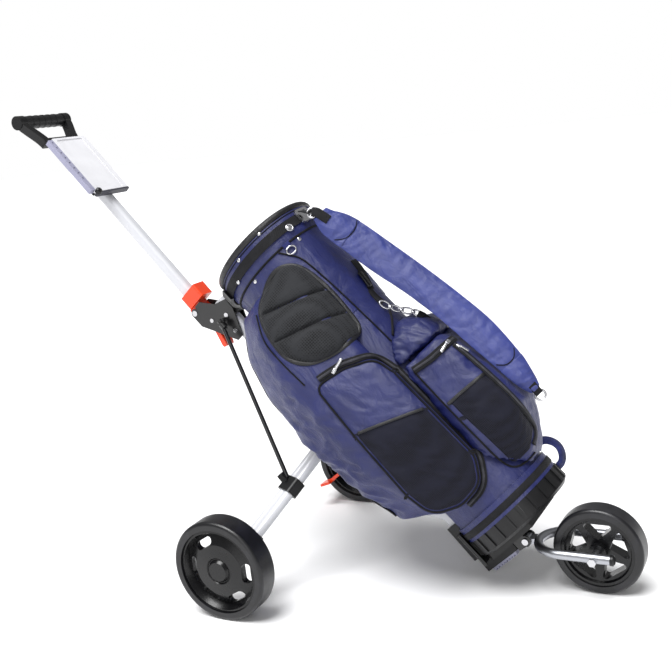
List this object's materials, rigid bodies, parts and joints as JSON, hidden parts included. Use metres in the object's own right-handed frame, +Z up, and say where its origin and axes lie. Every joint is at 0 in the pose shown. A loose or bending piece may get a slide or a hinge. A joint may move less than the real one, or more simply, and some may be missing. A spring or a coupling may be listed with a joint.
{
  "type": "golf bag on push cart",
  "caption": "Golf bag with pockets and shoulder strap on a folding three-wheel push cart with scorecard handle and foot brake.",
  "frame": {"origin": "on the ground under the middle of the whole object", "axes": "+X forward towards the front wheel, +Y to the left, +Z up"},
  "size_m": [1.4492, 0.706, 1.1058],
  "materials": {
    "white_tube": "gloss",
    "black_steel": "satin",
    "bright_steel": "satin",
    "red_plastic": "gloss",
    "black_plastic": "satin",
    "grip_rubber": "satin",
    "white_plastic": "gloss",
    "grey_plastic": "satin",
    "silver_tube": "satin",
    "tyre_rubber": "matte",
    "navy_nylon": "matte",
    "black_webbing": "matte",
    "black_mesh": "matte"
  },
  "bodies": {
    "root": {"lower_tube": "white_tube", "hinge_bracket": "black_steel", "hinge_pin": "bright_steel", "bracket_rivets": "bright_steel", "latch_pin": "bright_steel", "upper_cradle": "black_plastic", "cuff_strap": "black_webbing", "strap_buckle": "bright_steel", "mid_cradle": "black_plastic", "leg_hub": "black_plastic", "hub_pins": "bright_steel", "lower_cradle": "black_plastic", "ratchet_strip": "grey_plastic", "fork_bracket": "black_steel", "fork_pin": "bright_steel", "bag_shell": "navy_nylon", "bag_cuff": "navy_nylon", "club_divider": "black_webbing", "base_band": "black_webbing", "bag_base": "black_plastic", "side_pocket_left": "navy_nylon", "side_pocket_right": "navy_nylon", "front_pocket_upper": "navy_nylon", "front_pocket_lower": "navy_nylon", "side_pad": "black_mesh", "shoulder_strap": "navy_nylon", "strap_rings": "bright_steel", "carry_loop": "navy_nylon"},
    "handle": {"upper_tube": "white_tube", "hinge_clamp": "red_plastic", "handle_frame": "black_plastic", "handle_grip": "grip_rubber", "score_tray": "white_plastic", "tray_lip": "grey_plastic", "tee_rack": "grey_plastic", "tray_knob": "black_plastic"},
    "latch": {"latch_lever": "red_plastic"},
    "leg_frame_left": {"leg_left": "white_tube", "foot_left": "black_plastic", "strut_left": "black_steel", "sleeve_left": "black_plastic", "axle_left": "bright_steel", "brake_pin": "black_steel"},
    "wheel_left": {"rear_tyre_left": "tyre_rubber", "rear_rim_left": "black_plastic", "rear_cap_left": "black_plastic"},
    "leg_frame_right": {"leg_right": "white_tube", "foot_right": "black_plastic", "strut_right": "black_steel", "sleeve_right": "black_plastic", "axle_right": "bright_steel"},
    "wheel_right": {"rear_tyre_right": "tyre_rubber", "rear_rim_right": "black_plastic", "rear_cap_right": "black_plastic"},
    "brake": {"brake_lever": "red_plastic"},
    "fork": {"fork_tube": "silver_tube", "fork_plugs": "black_plastic", "front_axle": "bright_steel"},
    "wheel_front": {"front_tyre": "tyre_rubber", "front_rim": "black_plastic"}
  },
  "joints": [
    {"name": "handle_fold", "type": "hinge", "parent": "root", "child": "handle", "pos_m": [-0.3032, 0, 0.59768], "axis": [0, -1, 0], "range_deg": [0, 90]},
    {"name": "latch_open", "type": "hinge", "parent": "root", "child": "latch", "pos_m": [-0.25622, 0, 0.58022], "axis": [0, 1, 0], "range_deg": [0, 45]},
    {"name": "leg_fold_left", "type": "hinge", "parent": "root", "child": "leg_frame_left", "pos_m": [0.02451, 0.036, 0.2969], "axis": [-0.6561, 0, 0.7547], "range_deg": [0, 35]},
    {"name": "leg_fold_right", "type": "hinge", "parent": "root", "child": "leg_frame_right", "pos_m": [0.02451, -0.036, 0.2969], "axis": [0.6561, 0, -0.7547], "range_deg": [0, 35]},
    {"name": "wheel_spin_left", "type": "hinge", "parent": "leg_frame_left", "child": "wheel_left", "pos_m": [-0.0884, 0.325, 0.112], "axis": [0, 1, 0], "continuous": true},
    {"name": "wheel_spin_right", "type": "hinge", "parent": "leg_frame_right", "child": "wheel_right", "pos_m": [-0.0884, -0.325, 0.112], "axis": [0, 1, 0], "continuous": true},
    {"name": "brake_press", "type": "hinge", "parent": "leg_frame_left", "child": "brake", "pos_m": [-0.1184, 0.273, 0.096], "axis": [0, -1, 0], "range_deg": [0, 20]},
    {"name": "fork_fold", "type": "hinge", "parent": "root", "child": "fork", "pos_m": [0.4776, 0, 0.096], "axis": [0, 1, 0], "range_deg": [0, 90]},
    {"name": "wheel_spin_front", "type": "hinge", "parent": "fork", "child": "wheel_front", "pos_m": [0.6316, 0, 0.093], "axis": [0, 1, 0], "continuous": true}
  ],
  "couplings": [
    {"joint": "leg_fold_right", "follows": "leg_fold_left", "ratio": 1}
  ]
}
